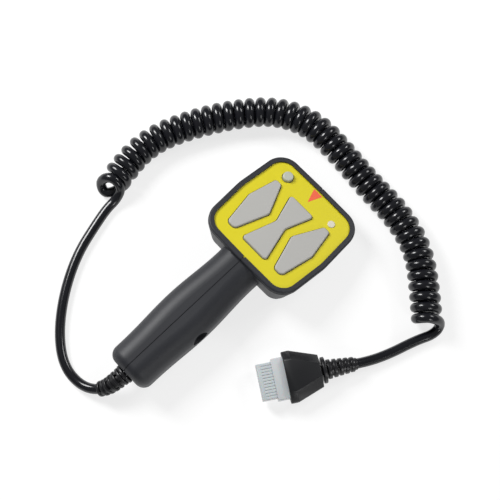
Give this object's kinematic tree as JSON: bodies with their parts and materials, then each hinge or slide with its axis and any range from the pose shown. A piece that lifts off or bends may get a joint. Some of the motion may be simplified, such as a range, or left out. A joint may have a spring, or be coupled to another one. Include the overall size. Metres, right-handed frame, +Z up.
{
  "type": "pendant control station",
  "caption": "Hand-held pendant control with a pistol grip, a tilted square key face, push and rocker keys, and a curly cord ending in a multi-way in-line connector.",
  "frame": {"origin": "on the surface the controller lies on, under the middle of the controller (grip and head, without its cord)", "axes": "+Z up out of the surface; +Y along the grip from its end to the head; +X to the right of somebody reading the face from the grip's end"},
  "size_m": [0.2542, 0.2638, 0.0367],
  "materials": {
    "housing_black": "fine matt texture",
    "plate_yellow": "satin",
    "key_grey": "satin",
    "lens_cream": "frosted",
    "lamp_clear": "clear tinted",
    "cord_black": "glossy",
    "plug_black": "satin",
    "nylon_white": "satin",
    "nylon_black": "satin",
    "switch_black": "satin",
    "stem_brown": "satin",
    "board_green": "satin solder mask",
    "wire_red": "smooth",
    "screw_steel": "zinc plated",
    "pin_steel": "polished",
    "contact_tin": "tin plated"
  },
  "bodies": {
    "housing": {"left_shell": "housing_black", "right_shell": "housing_black", "face_plate": "plate_yellow", "circuit_board": "board_green", "board_screws": "screw_steel", "board_header": "nylon_white", "wire_plug": "nylon_white", "core_wires": "wire_red", "rocker_bracket": "nylon_black", "rocker_pin": "pin_steel", "switch_left": "switch_black", "switch_right": "switch_black", "switch_power": "switch_black", "switch_raise": "switch_black", "switch_lower": "switch_black", "indicator_lens": "lens_cream", "indicator_lamp": "lamp_clear", "cable_clamp": "nylon_black", "clamp_screws": "screw_steel", "shell_screws": "screw_steel", "grip_strain_relief": "cord_black", "cord_tail_grip": "cord_black", "cord_coil": "cord_black", "cord_tail_plug": "cord_black", "plug_strain_relief": "plug_black", "plug_shell_upper": "plug_black", "plug_shell_lower": "plug_black", "connector_housing": "nylon_white", "connector_contacts": "contact_tin", "plug_wires": "wire_red"},
    "left_key": {"key_left": "key_grey", "switch_stem_left": "stem_brown"},
    "right_key": {"key_right": "key_grey", "switch_stem_right": "stem_brown"},
    "power_key": {"power_key": "key_grey", "switch_stem_power": "stem_brown"},
    "rocker": {"rocker_key": "key_grey"},
    "raise_plunger": {"switch_stem_raise": "stem_brown"},
    "lower_plunger": {"switch_stem_lower": "stem_brown"}
  },
  "joints": [
    {"name": "press_left_key", "type": "slide", "parent": "housing", "child": "left_key", "axis": [0, -0.225, -0.9744], "range_m": [0, 0.001], "stiffness_N_per_m": 1600, "springref_m": -0.0003},
    {"name": "press_right_key", "type": "slide", "parent": "housing", "child": "right_key", "axis": [0, -0.225, -0.9744], "range_m": [0, 0.001], "stiffness_N_per_m": 1600, "springref_m": -0.0003},
    {"name": "press_power_key", "type": "slide", "parent": "housing", "child": "power_key", "axis": [0, -0.225, -0.9744], "range_m": [0, 0.001], "stiffness_N_per_m": 1600, "springref_m": -0.0003},
    {"name": "rock_rocker_key", "type": "hinge", "parent": "housing", "child": "rocker", "pos_m": [0, 0.0511, 0.02306], "axis": [1, 0, 0], "range_deg": [-2.8, 2.8], "stiffness_Nm_per_rad": 0.36},
    {"name": "raise_plunger_slide", "type": "slide", "parent": "housing", "child": "raise_plunger", "axis": [0, -0.225, -0.9744], "range_m": [-0.0006, 0.0006]},
    {"name": "lower_plunger_slide", "type": "slide", "parent": "housing", "child": "lower_plunger", "axis": [0, -0.225, -0.9744], "range_m": [-0.0006, 0.0006]}
  ],
  "couplings": [
    {"joint": "raise_plunger_slide", "follows": "rock_rocker_key", "m_per_rad": -0.011},
    {"joint": "lower_plunger_slide", "follows": "rock_rocker_key", "m_per_rad": 0.011}
  ]
}
